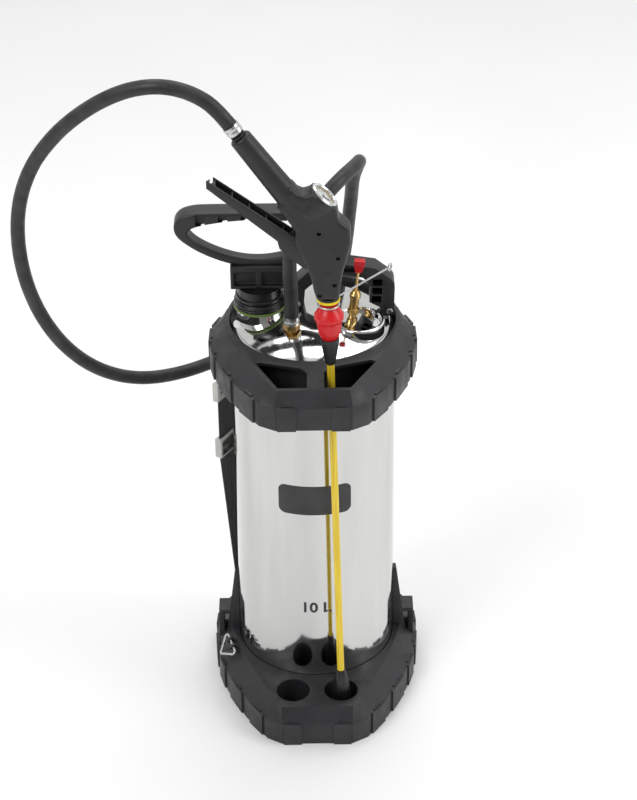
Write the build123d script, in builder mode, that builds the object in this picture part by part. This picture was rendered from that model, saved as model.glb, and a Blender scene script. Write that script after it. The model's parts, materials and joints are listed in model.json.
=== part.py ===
from build123d import *
import os
from math import atan2, cos, degrees, pi, radians, sin, sqrt, tan

os.makedirs("parts", exist_ok=True)

# ---------------------------------------------------------------- driving dimensions, mm
# The tank's axis is Z, the floor is Z = 0 and the front of the sprayer faces -Y.
TANK_R = 95.0
TANK_WALL = 1.2
TANK_BASE_Z = 6.0
DOME_TOP_Z = 516.0
CROWN_R = 240.0
CROWN_CENTRE_Z = DOME_TOP_Z - CROWN_R

GUARD_WALL = 4.0
BASE_EDGE_Z = 30.0
BASE_TOP_Z = 50.0
RING_BOTTOM_Z = 457.0
RING_EDGE_Z = 486.0
RING_TOP_Z = 503.6
RING_BORE_R = 95.3
TREAD_RISE = 2.2
TREAD_OVERLAP = 4.0

PARK_X = 28.8
PARK_Y = -123.6
PARK_R = 20.2
PARK_FLOOR_Z = 10.0

PUMP_X = -60.0
PUMP_Y = 4.0
NECK_R = 27.5
NECK_TOP_Z = 518.0
COLLAR_TOP_Z = 530.0
BARREL_BOTTOM_Z = 262.0
BARREL_FLOOR_Z = 266.0
BARREL_TOP_Z = 500.0
VALVE_HOLE_R = 2.0
BARREL_R = 22.0
BARREL_BORE_R = 20.0
ROD_R = 7.0
RUNNING_GAP = 0.06
ROD_TOP_Z = 548.0
HANDLE_HALF_SPAN = 93.5
HANDLE_DEPTH = 26.0
LOWER_BAR_DEPTH = 16.0

NECK_BORE_R = 24.6
NECK_BASE_Z = 490.0
SEAL_TOP_Z = 521.0
PISTON_BASE_Z = 271.0
PISTON_TOP_Z = 282.0
GROOVE_LOW_Z = 274.0
GROOVE_TOP_Z = 278.0
PISTON_R = 19.4
GROOVE_R = 17.0
HANDLE_BASE_Z = 531.0

OUTLET_X = -23.5
OUTLET_Y = -41.0
OUTLET_STEM_R = 6.0
OUTLET_HEX_Z = 513.4
FERRULE_BASE_Z = 520.0
FERRULE_TOP_Z = 530.0

CUP_X = 53.0
CUP_Y = -24.0
CUP_R = 29.0
CUP_TOP_Z = 514.0
CUP_FLOOR_Z = 505.0

GRIP_ARCH_Y = 9.0
GRIP_ARCH_DEPTH = 24.0

GUN_Y = -121.0
GUN_HALF_DEPTH = 13.0
SHELL_WALL = 2.6
PIVOT_X = 8.0
PIVOT_Z = 664.0
PIVOT_R = 2.0
TRIGGER_HALF_DEPTH = 9.6
LANCE_X = 17.4
LANCE_TOP_Z = 604.0
LANCE_TUBE_R = 4.2
VALVE_R = 4.9
PIPE_R = 5.0
PIPE_LENGTH = 78.0
GUN_FERRULE_END = 15.0

HOSE_D = 16.0

STRAP_X = -104.0
STRAP_Y = 22.0
STRAP_HEADING = (-0.53, -0.848, 0)
STRAP_KINK_Z = 300.0
STRAP_SHIFT = 29.0
STRAP_WIDTH = 30.0
STRAP_THICK = 2.0

# ---------------------------------------------------------------- planes, axes and helpers
pump_section = Plane(origin=(PUMP_X, PUMP_Y, 0), x_dir=(1, 0, 0), z_dir=(0, -1, 0))
pump_axis = Axis((PUMP_X, PUMP_Y, 0), (0, 0, 1))
outlet_section = Plane(origin=(OUTLET_X, OUTLET_Y, 0), x_dir=(1, 0, 0), z_dir=(0, -1, 0))
outlet_axis = Axis((OUTLET_X, OUTLET_Y, 0), (0, 0, 1))
cup_section = Plane(origin=(CUP_X, CUP_Y, 0), x_dir=(1, 0, 0), z_dir=(0, -1, 0))
cup_axis = Axis((CUP_X, CUP_Y, 0), (0, 0, 1))
gun_middle = Plane(origin=(0, GUN_Y, 0), x_dir=(1, 0, 0), z_dir=(0, -1, 0))


def section_along(start, direction):
    """A plane whose local Y runs along an axis, and that axis, for turned pieces."""
    along = Vector(*direction).normalized()
    across = Vector(0, 1, 0).cross(along).normalized()
    plane = Plane(origin=start, x_dir=across, z_dir=across.cross(along))
    return plane, Axis(start, tuple(along))


def outline(points):
    """A closed face from straight edges, drawn on the plane it is added to."""
    with BuildSketch() as flat:
        with BuildLine():
            Polyline(*points, close=True)
        make_face()
    return flat.sketch


def mirrored_outline(half):
    """A closed face from the right half of its corners, given front to back."""
    left = [(-x, y) for x, y in reversed(half)]
    return outline(half + left)


# ---------------------------------------------------------------- stainless tank
def tank_profile(inset):
    """Half section of the tank: flat base, straight wall and a shallow crown."""
    wall_r = TANK_R - inset
    crown_r = CROWN_R - inset
    corner_z = CROWN_CENTRE_Z + sqrt(crown_r**2 - wall_r**2)
    middle_z = CROWN_CENTRE_Z + sqrt(crown_r**2 - (wall_r / 2) ** 2)
    with BuildSketch() as flat:
        with BuildLine():
            Line((0, TANK_BASE_Z + inset), (wall_r, TANK_BASE_Z + inset))
            Line((wall_r, TANK_BASE_Z + inset), (wall_r, corner_z))
            ThreePointArc((wall_r, corner_z), (wall_r / 2, middle_z), (0, DOME_TOP_Z - inset))
            Line((0, DOME_TOP_Z - inset), (0, TANK_BASE_Z + inset))
        make_face()
        outer_corners = flat.vertices().filter_by(lambda corner: corner.X > wall_r - 1)
        fillet(outer_corners, radius=12 - inset)
    return flat.sketch


with BuildPart() as tank_shell:
    with BuildSketch(Plane.XZ):
        add(tank_profile(0))
    revolve(axis=Axis.Z)
    with BuildSketch(Plane.XZ):
        add(tank_profile(TANK_WALL))
    revolve(axis=Axis.Z, mode=Mode.SUBTRACT)
    with Locations((PUMP_X, PUMP_Y, DOME_TOP_Z)):
        Cylinder(NECK_R, 60, mode=Mode.SUBTRACT)
    with Locations((OUTLET_X, OUTLET_Y, DOME_TOP_Z)):
        Cylinder(OUTLET_STEM_R, 60, mode=Mode.SUBTRACT)
    with Locations((CUP_X, CUP_Y, DOME_TOP_Z)):
        Cylinder(CUP_R, 60, mode=Mode.SUBTRACT)

# ---------------------------------------------------------------- rubber guards
BASE_OUTER = [(43, -166), (62, -155), (88, -117), (112, -67), (123, -28), (127, 18), (124, 62), (88, 112)]
BASE_PLATFORM = [(43, -154), (52, -138), (70, -101), (86, -64), (97, -30), (106, 6), (106, 54), (76, 98)]
TOP_OUTER = [(43, -166), (62, -155), (88, -117), (111, -67), (119, -28), (118, 4), (106, 32), (44, 104)]
TOP_PLATFORM = [(40, -154), (50, -136), (68, -103), (86, -68), (98, -34), (102, -4), (98, 18), (42, 101)]
TREAD_WIDTH = [0, 28, 34, 25, 29, 20, 34]


def guard_loft(bottom_z, edge_z, top_z, inset, outer, platform):
    """The guard's solid: a straight wall, then a bevel up to the platform."""
    with BuildSketch() as wall_face:
        add(mirrored_outline(outer))
        offset(amount=-TREAD_RISE - inset, kind=Kind.INTERSECTION)
    with BuildSketch() as platform_face:
        add(mirrored_outline(platform))
        offset(amount=-inset, kind=Kind.INTERSECTION)
    with BuildPart() as body:
        with BuildSketch(Plane.XY.offset(bottom_z)):
            add(wall_face.sketch)
        extrude(amount=edge_z - bottom_z)
        with BuildSketch(Plane.XY.offset(edge_z)):
            add(wall_face.sketch)
        with BuildSketch(Plane.XY.offset(top_z - inset)):
            add(platform_face.sketch)
        loft(ruled=True)
    return body.part


def tread_places(corners):
    """Centre, heading and width of each tread block, all the way round the guard."""
    places = []
    for (x1, y1), (x2, y2), width in zip(corners, corners[1:], TREAD_WIDTH):
        if width:
            angle = degrees(atan2(y2 - y1, x2 - x1))
            places.append(((x1 + x2) / 2, (y1 + y2) / 2, angle, width))
            places.append((-(x1 + x2) / 2, (y1 + y2) / 2, -angle, width))
    for x in (-30, 30):
        places.append((x, corners[0][1], 0, 21))
    return places


def tread_blocks(bottom_z, height, corners):
    """Raised blocks on the guard's wall, each with a short raised lip along its top."""
    with BuildPart() as blocks:
        for x, y, angle, width in tread_places(corners):
            face = Plane(origin=(x, y, bottom_z), z_dir=(0, 0, 1)).rotated((0, 0, angle))
            with Locations(face):
                with Locations((0, (TREAD_RISE + TREAD_OVERLAP) / 2, height / 2)):
                    Box(width, TREAD_RISE + TREAD_OVERLAP, height)
                with Locations((0, TREAD_RISE + 3.5, height - 2)):
                    Box(width * 0.5, 7, 7)
    return blocks.part


UPRIGHT = (Align.CENTER, Align.CENTER, Align.MIN)

WING_TOP_Z = 137.0
WING_FOOT_Z = 44.0
WING_OUTLINE = [(0, WING_FOOT_Z), (27, WING_FOOT_Z), (24, 86), (12, WING_TOP_Z), (2, WING_TOP_Z)]

with BuildPart() as guard_wings:
    with BuildSketch(Plane.YZ):
        add(outline(WING_OUTLINE))
    extrude(amount=TANK_R + 40, both=True)
    with Locations((0, 0, WING_FOOT_Z)):
        Cone(TANK_R + 16, TANK_R + 4.5, WING_TOP_Z - WING_FOOT_Z, align=UPRIGHT, mode=Mode.INTERSECT)

# A strap ring hangs in two ears on the left side wall.
RING_WIRE_R = 1.6
RING_HALF_BAR = 24.0
RING_DROP = 20.0
ring_wall = Plane(origin=(-104.9, -35.0, 51.8), x_dir=(-0.26, 0.966, 0), z_dir=(-0.657, -0.177, 0.723))

strap_frame = Plane(origin=(STRAP_X, STRAP_Y, 0), x_dir=STRAP_HEADING, z_dir=(0, 0, 1))
strap_normal = Vector(STRAP_HEADING).cross(Vector(0, 0, 1))
strap_face = Plane(origin=(STRAP_X, STRAP_Y, 0), x_dir=STRAP_HEADING, z_dir=strap_normal)
STRAP_FOOT_Z = 66.0
BUCKLE_LOW_Z = 384.0
BUCKLE_TOP_Z = 408.0
SLIDER_Z = 316.0

# A bracket stands on each side wall and ties the wing to it.
BRACKET_X = 118.0
BRACKET_Y = 14.0
BRACKET_TOP_Z = 74.0

with BuildPart() as base_guard:
    add(guard_loft(0, BASE_EDGE_Z, BASE_TOP_Z, 0, BASE_OUTER, BASE_PLATFORM))
    add(tread_blocks(0, BASE_EDGE_Z + 1.5, BASE_OUTER))
    hollow = guard_loft(-1, BASE_EDGE_Z - 2, BASE_TOP_Z, GUARD_WALL, BASE_OUTER, BASE_PLATFORM)
    add(hollow, mode=Mode.SUBTRACT)
    add(guard_wings.part)
    for side in (-1, 1):
        with Locations((side * BRACKET_X, BRACKET_Y, BASE_EDGE_Z - 6)):
            Box(6, 24, BRACKET_TOP_Z - BASE_EDGE_Z + 6, align=UPRIGHT)
        with Locations((side * (BRACKET_X - 9), BRACKET_Y, BRACKET_TOP_Z)):
            Box(24, 24, 6, align=(Align.CENTER, Align.CENTER, Align.MAX))
    Cylinder(TANK_R + 5, BASE_TOP_Z, align=UPRIGHT)
    with Locations((-PARK_X, PARK_Y, 0), (PARK_X, PARK_Y, 0)):
        Cylinder(PARK_R + 2.5, BASE_TOP_Z, align=UPRIGHT)
    with Locations((0, 0, TANK_BASE_Z)):
        Cylinder(TANK_R + 0.5, WING_TOP_Z, align=UPRIGHT, mode=Mode.SUBTRACT)
    with Locations((-PARK_X, PARK_Y, PARK_FLOOR_Z), (PARK_X, PARK_Y, PARK_FLOOR_Z)):
        Cylinder(PARK_R, BASE_TOP_Z, align=UPRIGHT, mode=Mode.SUBTRACT)
    with Locations(ring_wall):
        with Locations((-7, 0, -3.5), (7, 0, -3.5)):
            Box(4.4, 8, 12)
        Cylinder(RING_WIRE_R + RUNNING_GAP, 60, rotation=(0, 90, 0), mode=Mode.SUBTRACT)
    with Locations(strap_frame):
        with Locations((-STRAP_SHIFT, 0, (STRAP_FOOT_Z + 20) / 2)):
            Box(STRAP_WIDTH + 8, 9, STRAP_FOOT_Z - 20)

TUBE_HOLE_X = 21.0
TUBE_HOLE_Y = -122.0
TUBE_HOLE_R = 9.0
# Two openings in the front of the top guard let the lance and a spare tube through.
OPENING_LEFT = [(-64, -98), (-39, -149), (-7, -149), (-7, -119), (-14, -110), (-58, -97)]
OPENING_RIGHT = [(70, -97), (41, -149), (12, -149), (12, -117), (26, -106), (64, -94)]

with BuildPart() as top_guard:
    add(guard_loft(RING_BOTTOM_Z, RING_EDGE_Z, RING_TOP_Z, 0, TOP_OUTER, TOP_PLATFORM))
    add(tread_blocks(RING_BOTTOM_Z, RING_EDGE_Z - RING_BOTTOM_Z + 1.5, TOP_OUTER))
    hollow = guard_loft(RING_BOTTOM_Z - 1, RING_EDGE_Z - 2, RING_TOP_Z, GUARD_WALL, TOP_OUTER, TOP_PLATFORM)
    add(hollow, mode=Mode.SUBTRACT)
    with Locations((0, 0, RING_BOTTOM_Z)):
        Cylinder(RING_BORE_R + 3.5, RING_TOP_Z - RING_BOTTOM_Z, align=UPRIGHT)
    with BuildSketch(Plane.XY.offset(RING_BOTTOM_Z)):
        add(mirrored_outline(TOP_OUTER))
        offset(amount=-TREAD_RISE - 1, kind=Kind.INTERSECTION)
        with Locations((-TUBE_HOLE_X, TUBE_HOLE_Y), (TUBE_HOLE_X, TUBE_HOLE_Y)):
            Circle(TUBE_HOLE_R, mode=Mode.SUBTRACT)
    extrude(amount=GUARD_WALL)
    with Locations((0, 0, RING_BOTTOM_Z)):
        Cylinder(RING_BORE_R, 200, mode=Mode.SUBTRACT)
    with BuildSketch(Plane.XY.offset(RING_EDGE_Z)):
        add(outline(OPENING_LEFT))
        add(outline(OPENING_RIGHT))
    extrude(amount=40, mode=Mode.SUBTRACT)


# ---------------------------------------------------------------- strap and its fittings
def strap_box(z_low, z_high, width, thick, inward=0.0):
    """A box across the strap's own plane between two heights."""
    middle = strap_frame.from_local_coords((0, inward, (z_low + z_high) / 2))
    return Plane(origin=middle, x_dir=strap_frame.x_dir, z_dir=(0, 0, 1)) * Box(
        width, thick, z_high - z_low, mode=Mode.PRIVATE
    )


half_strap = STRAP_WIDTH / 2
with BuildPart() as strap_webbing:
    with BuildSketch(strap_face):
        band = [(-half_strap - STRAP_SHIFT, STRAP_FOOT_Z), (half_strap - STRAP_SHIFT, STRAP_FOOT_Z)]
        band += [(half_strap, STRAP_KINK_Z), (half_strap, BUCKLE_LOW_Z), (-half_strap, BUCKLE_LOW_Z)]
        add(outline(band + [(-half_strap, STRAP_KINK_Z)]))
    extrude(amount=STRAP_THICK / 2, both=True)

with BuildPart() as strap_slider:
    add(strap_box(SLIDER_Z - 13, SLIDER_Z + 13, STRAP_WIDTH + 8, 9))
    add(strap_box(SLIDER_Z - 20, SLIDER_Z + 20, STRAP_WIDTH + 0.6, STRAP_THICK + 0.6), mode=Mode.SUBTRACT)
    for side in (-3.4, 3.4):
        for dz in (-6, 6):
            window = strap_box(SLIDER_Z + dz - 3.5, SLIDER_Z + dz + 3.5, STRAP_WIDTH, 3.2, side)
            add(window, mode=Mode.SUBTRACT)

with BuildPart() as strap_buckle:
    add(strap_box(BUCKLE_LOW_Z, BUCKLE_TOP_Z, STRAP_WIDTH + 12, 8))
    add(strap_box(BUCKLE_LOW_Z + 8, BUCKLE_TOP_Z - 6, STRAP_WIDTH - 2, 12), mode=Mode.SUBTRACT)

with BuildPart() as strap_anchor:
    add(strap_box(BUCKLE_TOP_Z, RING_BOTTOM_Z, 22, 5))

with BuildPart() as strap_ring:
    with BuildLine(ring_wall) as ring_line:
        FilletPolyline((RING_HALF_BAR, 0), (0, RING_DROP), (-RING_HALF_BAR, 0), radius=3.0, close=True)
    with BuildSketch(Plane(origin=ring_line.line @ 0, z_dir=ring_line.line % 0)):
        Circle(RING_WIRE_R)
    sweep(path=ring_line.line)

# ---------------------------------------------------------------- tank fittings
with BuildPart() as pump_neck:
    with BuildSketch(pump_section):
        neck = [(NECK_BORE_R, NECK_BASE_Z), (NECK_R, NECK_BASE_Z)]
        neck += [(NECK_R, NECK_TOP_Z), (NECK_BORE_R, NECK_TOP_Z)]
        add(outline(neck))
    revolve(axis=pump_axis)

with BuildPart() as pump_seal:
    with BuildSketch(pump_section):
        seal = [(NECK_BORE_R, NECK_TOP_Z), (29.6, NECK_TOP_Z), (29.6, SEAL_TOP_Z), (NECK_BORE_R, SEAL_TOP_Z)]
        add(outline(seal))
    revolve(axis=pump_axis)

OUTLET_STEM_Z = 498.0
OUTLET_BORE_R = 3.5
with BuildPart() as outlet_nut:
    with BuildSketch(Plane(origin=(OUTLET_X, OUTLET_Y, OUTLET_HEX_Z))):
        RegularPolygon(8.6, 6, major_radius=False)
    extrude(amount=FERRULE_BASE_Z - OUTLET_HEX_Z)
    with Locations((OUTLET_X, OUTLET_Y, OUTLET_STEM_Z)):
        Cylinder(OUTLET_STEM_R, FERRULE_BASE_Z - OUTLET_STEM_Z, align=UPRIGHT)
    with Locations((OUTLET_X, OUTLET_Y, OUTLET_STEM_Z)):
        Cylinder(OUTLET_BORE_R, 80, mode=Mode.SUBTRACT)

with BuildPart() as tank_ferrule:
    with BuildSketch(outlet_section):
        crimp = [(9.0, FERRULE_BASE_Z), (9.2, 523), (8.7, 525), (9.2, 527), (9.0, FERRULE_TOP_Z)]
        add(outline([(OUTLET_BORE_R, FERRULE_BASE_Z)] + crimp + [(OUTLET_BORE_R, FERRULE_TOP_Z)]))
    revolve(axis=outlet_axis)

with BuildPart() as dip_tube:
    with BuildSketch(outlet_section):
        tube = [(OUTLET_BORE_R, 14), (5.0, 14), (5.0, OUTLET_STEM_Z), (OUTLET_BORE_R, OUTLET_STEM_Z)]
        add(outline(tube))
    revolve(axis=outlet_axis)

with BuildPart() as valve_cup:
    with BuildSketch(cup_section):
        with BuildLine():
            Polyline((0, 502), (24, 502), (24, 491), (CUP_R, 491), (CUP_R, CUP_TOP_Z - 2.4))
            ThreePointArc((CUP_R, CUP_TOP_Z - 2.4), (CUP_R - 2.4, CUP_TOP_Z), (CUP_R - 4.8, CUP_TOP_Z - 2.4))
            Polyline((CUP_R - 4.8, CUP_TOP_Z - 2.4), (CUP_R - 5, CUP_FLOOR_Z), (0, CUP_FLOOR_Z), (0, 502))
        make_face()
    revolve(axis=cup_axis)

# ---------------------------------------------------------------- relief valve, leaning a little outwards
RELIEF_FOOT = (44.0, -22.0, CUP_FLOOR_Z)
RELIEF_STEM_R = 1.5
RELIEF_BORE_R = RELIEF_STEM_R + RUNNING_GAP
relief_section, relief_axis = section_along(RELIEF_FOOT, (9, 0, 79))
RELIEF_BODY = [(0, 0.9), (6, 0.9), (6, 9), (4.4, 10), (4.4, 16), (6.8, 17), (6.8, 22), (5.2, 23)]
RELIEF_BODY += [(5.2, 36), (6.4, 37), (6.4, 41), (3.6, 46), (RELIEF_BORE_R, 46), (RELIEF_BORE_R, 41)]
RELIEF_BODY += [(3.6, 40), (3.6, 20), (0, 20)]

with BuildPart() as relief_body:
    with BuildSketch(relief_section):
        add(outline(RELIEF_BODY))
    revolve(axis=relief_axis)

with BuildPart() as relief_stem:
    with BuildSketch(relief_section):
        add(outline([(0, 20.2), (3.3, 20.2), (3.3, 23), (RELIEF_STEM_R, 24), (RELIEF_STEM_R, 70), (0, 70)]))
    revolve(axis=relief_axis)

relief_top = relief_axis.position + relief_axis.direction * 70
knob_base = Plane(origin=relief_top, x_dir=relief_section.x_dir, z_dir=relief_axis.direction)
with BuildPart() as relief_knob:
    with BuildSketch(knob_base):
        Rectangle(7, 6)
    with BuildSketch(knob_base.offset(9)):
        Rectangle(11, 8)
    loft()
    with BuildSketch(knob_base.offset(9)):
        Rectangle(12, 9)
    extrude(amount=6)

# ---------------------------------------------------------------- arched carrying grip
ARCH_OUTER = [(-24, 516), (-22, 545), (-2, 566), (35, 573), (72, 567), (94, 549), (93, 504.5)]
ARCH_INNER = [(77, 504.5), (77, 516), (65, 523), (67, 543), (58, 555), (35, 560)]
ARCH_INNER += [(6, 553), (-8, 540), (-10, 516)]
arch_plane = Plane.XZ.offset(-GRIP_ARCH_Y)
LEG_POCKETS = [(73, 526.5), (74, 537.5), (74, 548.5)]
LEG_POCKET_DEPTH = 15.0

with BuildPart() as carry_handle:
    with BuildSketch(arch_plane) as arch_face:
        add(outline(ARCH_OUTER + ARCH_INNER))
        inner_bends = arch_face.vertices().filter_by(
            lambda corner: 530 < corner.Z < 562 and -9 < corner.X < 70
        )
        fillet(inner_bends, radius=7)
        outer_bends = arch_face.vertices().filter_by(lambda corner: corner.Z > 564 or corner.X > 93.5)
        fillet(outer_bends, radius=15)
    extrude(amount=GRIP_ARCH_DEPTH / 2, both=True)
    with Locations((44, GRIP_ARCH_Y - GRIP_ARCH_DEPTH / 2, 566)):
        Box(16, 10, 7, mode=Mode.SUBTRACT)
    with Locations(*[(x, GRIP_ARCH_Y - GRIP_ARCH_DEPTH / 2, z) for x, z in LEG_POCKETS]):
        Box(11, 2 * LEG_POCKET_DEPTH, 8.5, mode=Mode.SUBTRACT)

crown_ball = Pos(0, 0, CROWN_CENTRE_Z) * Sphere(CROWN_R)
with BuildPart() as handle_lugs:
    with Locations((-17, GRIP_ARCH_Y, 516)):
        Box(12, 18, 14, align=(Align.CENTER, Align.CENTER, Align.MAX))
    with Locations((82.5, GRIP_ARCH_Y, 504.5)):
        Box(7, 18, 14, align=(Align.CENTER, Align.CENTER, Align.MAX))
    add(crown_ball, mode=Mode.SUBTRACT)

with BuildPart() as handle_screws:
    with Locations(Plane.XZ.offset(GRIP_ARCH_DEPTH / 2 - GRIP_ARCH_Y)):
        with Locations((-17, 523), (88, 512)):
            Cylinder(3.6, 2.6, align=UPRIGHT)

# ---------------------------------------------------------------- pump
with BuildPart() as pump_collar:
    with BuildSketch(pump_section):
        rings = [(29.2, SEAL_TOP_Z), (29.2, 523.5), (27.8, 524.2), (29.2, 525), (29.2, 527.5), (27.5, 528.2)]
        bore_r = ROD_R + RUNNING_GAP
        stem = [(bore_r, BARREL_TOP_Z), (24.2, BARREL_TOP_Z), (24.2, SEAL_TOP_Z)]
        add(outline(stem + rings + [(27.5, COLLAR_TOP_Z), (bore_r, COLLAR_TOP_Z)]))
    revolve(axis=pump_axis)

with BuildPart() as pump_barrel:
    with BuildSketch(pump_section):
        outer = [(VALVE_HOLE_R, BARREL_BOTTOM_Z), (BARREL_R, BARREL_BOTTOM_Z), (BARREL_R, BARREL_TOP_Z)]
        inner = [(BARREL_BORE_R, BARREL_TOP_Z), (BARREL_BORE_R, BARREL_FLOOR_Z)]
        inner += [(VALVE_HOLE_R, BARREL_FLOOR_Z)]
        add(outline(outer + inner))
    revolve(axis=pump_axis)
    with Locations((PUMP_X, PUMP_Y, BARREL_BOTTOM_Z)):
        with PolarLocations(9, 4):
            Cylinder(2.5, 20, mode=Mode.SUBTRACT)

with BuildPart() as foot_valve:
    with BuildSketch(pump_section):
        flap = [(0, 259.5), (13, 260.5), (13, BARREL_BOTTOM_Z), (VALVE_HOLE_R, BARREL_BOTTOM_Z)]
        button = [(VALVE_HOLE_R, BARREL_FLOOR_Z), (3.2, BARREL_FLOOR_Z), (2, 269), (0, 269)]
        add(outline(flap + button))
    revolve(axis=pump_axis)

with BuildPart() as pump_rod:
    with Locations((PUMP_X, PUMP_Y, PISTON_TOP_Z)):
        Cylinder(ROD_R, ROD_TOP_Z - PISTON_TOP_Z, align=UPRIGHT)

with BuildPart() as pump_piston:
    with BuildSketch(pump_section):
        lower = [(0, PISTON_BASE_Z), (PISTON_R, PISTON_BASE_Z)]
        lower += [(PISTON_R, GROOVE_LOW_Z), (GROOVE_R, GROOVE_LOW_Z)]
        upper = [(GROOVE_R, GROOVE_TOP_Z), (PISTON_R, GROOVE_TOP_Z)]
        upper += [(PISTON_R, PISTON_TOP_Z), (0, PISTON_TOP_Z)]
        add(outline(lower + upper))
    revolve(axis=pump_axis)

with BuildPart() as piston_seal:
    with BuildSketch(pump_section):
        lip_r = BARREL_BORE_R - RUNNING_GAP
        lip = [(GROOVE_R, GROOVE_LOW_Z), (lip_r, GROOVE_LOW_Z), (lip_r, GROOVE_TOP_Z), (GROOVE_R, GROOVE_TOP_Z)]
        add(outline(lip))
    revolve(axis=pump_axis)

with BuildPart() as pump_handle:
    with BuildSketch(pump_section):
        with BuildLine():
            Line((-76, 643), (76, 643))
            ThreePointArc((76, 643), (HANDLE_HALF_SPAN, 626), (84, 606))
            ThreePointArc((84, 606), (0, 569), (-84, 606))
            ThreePointArc((-84, 606), (-HANDLE_HALF_SPAN, 626), (-76, 643))
        make_face()
        with BuildLine():
            ThreePointArc((-72, 625), (0, 633), (72, 625))
            Line((72, 625), (76, 616))
            ThreePointArc((76, 616), (0, 581), (-76, 616))
            Line((-76, 616), (-72, 625))
        make_face(mode=Mode.SUBTRACT)
    extrude(amount=HANDLE_DEPTH / 2, both=True)
    with BuildSketch(pump_section):
        with BuildLine():
            Polyline((-70, 616), (-70, 560), (70, 560), (70, 616))
            ThreePointArc((70, 616), (0, 584), (-70, 616))
        make_face()
    extrude(amount=HANDLE_DEPTH, both=True, mode=Mode.SUBTRACT)
    with BuildSketch(pump_section):
        with BuildLine():
            ThreePointArc((76, 600), (0, 569), (-76, 600))
            Line((-76, 600), (-76, 616))
            ThreePointArc((-76, 616), (0, 581), (76, 616))
            Line((76, 616), (76, 600))
        make_face()
    extrude(amount=LOWER_BAR_DEPTH / 2, both=True)
    with Locations((PUMP_X, PUMP_Y, 545)):
        Box(64, HANDLE_DEPTH, 26, align=UPRIGHT)

    with Locations((PUMP_X, PUMP_Y, HANDLE_BASE_Z)):
        Cylinder(27.5, 4, align=UPRIGHT)
        Cylinder(25.5, 14.5, align=UPRIGHT)
    for face in (HANDLE_DEPTH / 2 - 7, -HANDLE_DEPTH / 2):
        with BuildSketch(pump_section.offset(face)):
            with Locations((-15.5, 558), (15.5, 558)):
                Rectangle(24, 18)
        extrude(amount=7, mode=Mode.SUBTRACT)
    for face in (HANDLE_DEPTH / 2 - 3, -HANDLE_DEPTH / 2):
        with BuildSketch(pump_section.offset(face)):
            with Locations((0, 637.5)):
                with GridLocations(14, 1, 9, 1):
                    Rectangle(11, 6)
        extrude(amount=3, mode=Mode.SUBTRACT)
    with Locations((PUMP_X, PUMP_Y, HANDLE_BASE_Z - 1)):
        Cylinder(ROD_R + RUNNING_GAP, ROD_TOP_Z - HANDLE_BASE_Z + 1.4, align=UPRIGHT, mode=Mode.SUBTRACT)

# ---------------------------------------------------------------- spray gun
HOUSING = [(5, 604), (2, 614), (-2, 634), (-19, 676), (-17, 688), (-22, 697), (-84, 790), (-64, 804)]
HOUSING += [(-16, 736), (-8, 731), (2, 736), (26, 716), (29, 702), (41, 691), (42, 675), (38, 655), (33, 637)]
HOUSING += [(30, 614), (29, 604)]
TRIGGER_GAP = [(3, 622), (-40, 660), (-26, 702), (-19, 694), (18, 690), (26, 664), (24, 650), (12, 645)]
TRIGGER = [(-109, 750), (-22, 684), (-6, 678), (10, 672), (20, 668), (21, 661.8), (13, 661.8)]
TRIGGER += [(8, 656), (-1, 640), (-9, 644), (-23, 656), (-34, 668), (-36, 677), (-110, 742)]
TRIGGER_CHANNEL = [(-104, 752), (-18, 684), (-24, 678), (-106, 742)]
SCREW_SPOTS = [(8, 687), (28, 657), (24, 624), (8, 611)]
GAUGE_CENTRE = (14.0, GUN_Y, 726.5)
gauge_section, gauge_axis = section_along(GAUGE_CENTRE, (24, 0, 27.5))
gauge_plane = Plane(origin=GAUGE_CENTRE, x_dir=gauge_section.x_dir, z_dir=gauge_axis.direction)
GRIP_END = (-74.0, GUN_Y, 797.0)
grip_section, grip_axis = section_along(GRIP_END, (-14, 0, 20))
lance_section, lance_axis = section_along((LANCE_X, GUN_Y, LANCE_TOP_Z), (12.6, -2.6, -584))

with BuildPart() as housing_whole:
    with BuildSketch(gun_middle):
        add(outline(HOUSING))
    extrude(amount=GUN_HALF_DEPTH, both=True)
    with Locations(gauge_plane):
        Cylinder(17, 24, align=(Align.CENTER, Align.CENTER, Align.MAX))
    with BuildSketch(gun_middle):
        add(outline(HOUSING))
        offset(amount=-SHELL_WALL, kind=Kind.INTERSECTION, mode=Mode.REPLACE)
    extrude(amount=GUN_HALF_DEPTH - SHELL_WALL, both=True, mode=Mode.SUBTRACT)
    with BuildSketch(gun_middle):
        add(outline(TRIGGER_GAP))
    extrude(amount=GUN_HALF_DEPTH - SHELL_WALL, both=True, mode=Mode.SUBTRACT)
    with Locations(gauge_plane):
        Cylinder(14.5, 12.5, align=(Align.CENTER, Align.CENTER, Align.MAX), mode=Mode.SUBTRACT)
    with Locations(gun_middle):
        with Locations(*SCREW_SPOTS):
            Cylinder(3.6, 2 * GUN_HALF_DEPTH)
            Cylinder(1.5, 100, mode=Mode.SUBTRACT)
    with Locations(gun_middle.offset(GUN_HALF_DEPTH - 7)):
        with Locations(*SCREW_SPOTS):
            Cylinder(2.6, 20, align=UPRIGHT, mode=Mode.SUBTRACT)
    with Locations(gun_middle):
        with Locations((PIVOT_X, PIVOT_Z)):
            Cylinder(PIVOT_R, 2 * GUN_HALF_DEPTH - 2, mode=Mode.SUBTRACT)
    with Locations((LANCE_X, GUN_Y, 607)):
        Cylinder(VALVE_R, 39, align=UPRIGHT, mode=Mode.SUBTRACT)
    with Locations((LANCE_X, GUN_Y, 600)):
        Cylinder(3.0, 30, mode=Mode.SUBTRACT)
    with Locations(Plane(origin=GRIP_END, z_dir=grip_axis.direction)):
        Cylinder(PIPE_R, 2 * PIPE_LENGTH, mode=Mode.SUBTRACT)

with BuildPart() as gun_housing_front:
    add(housing_whole.part)
    split(bisect_by=gun_middle, keep=Keep.TOP)

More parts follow.
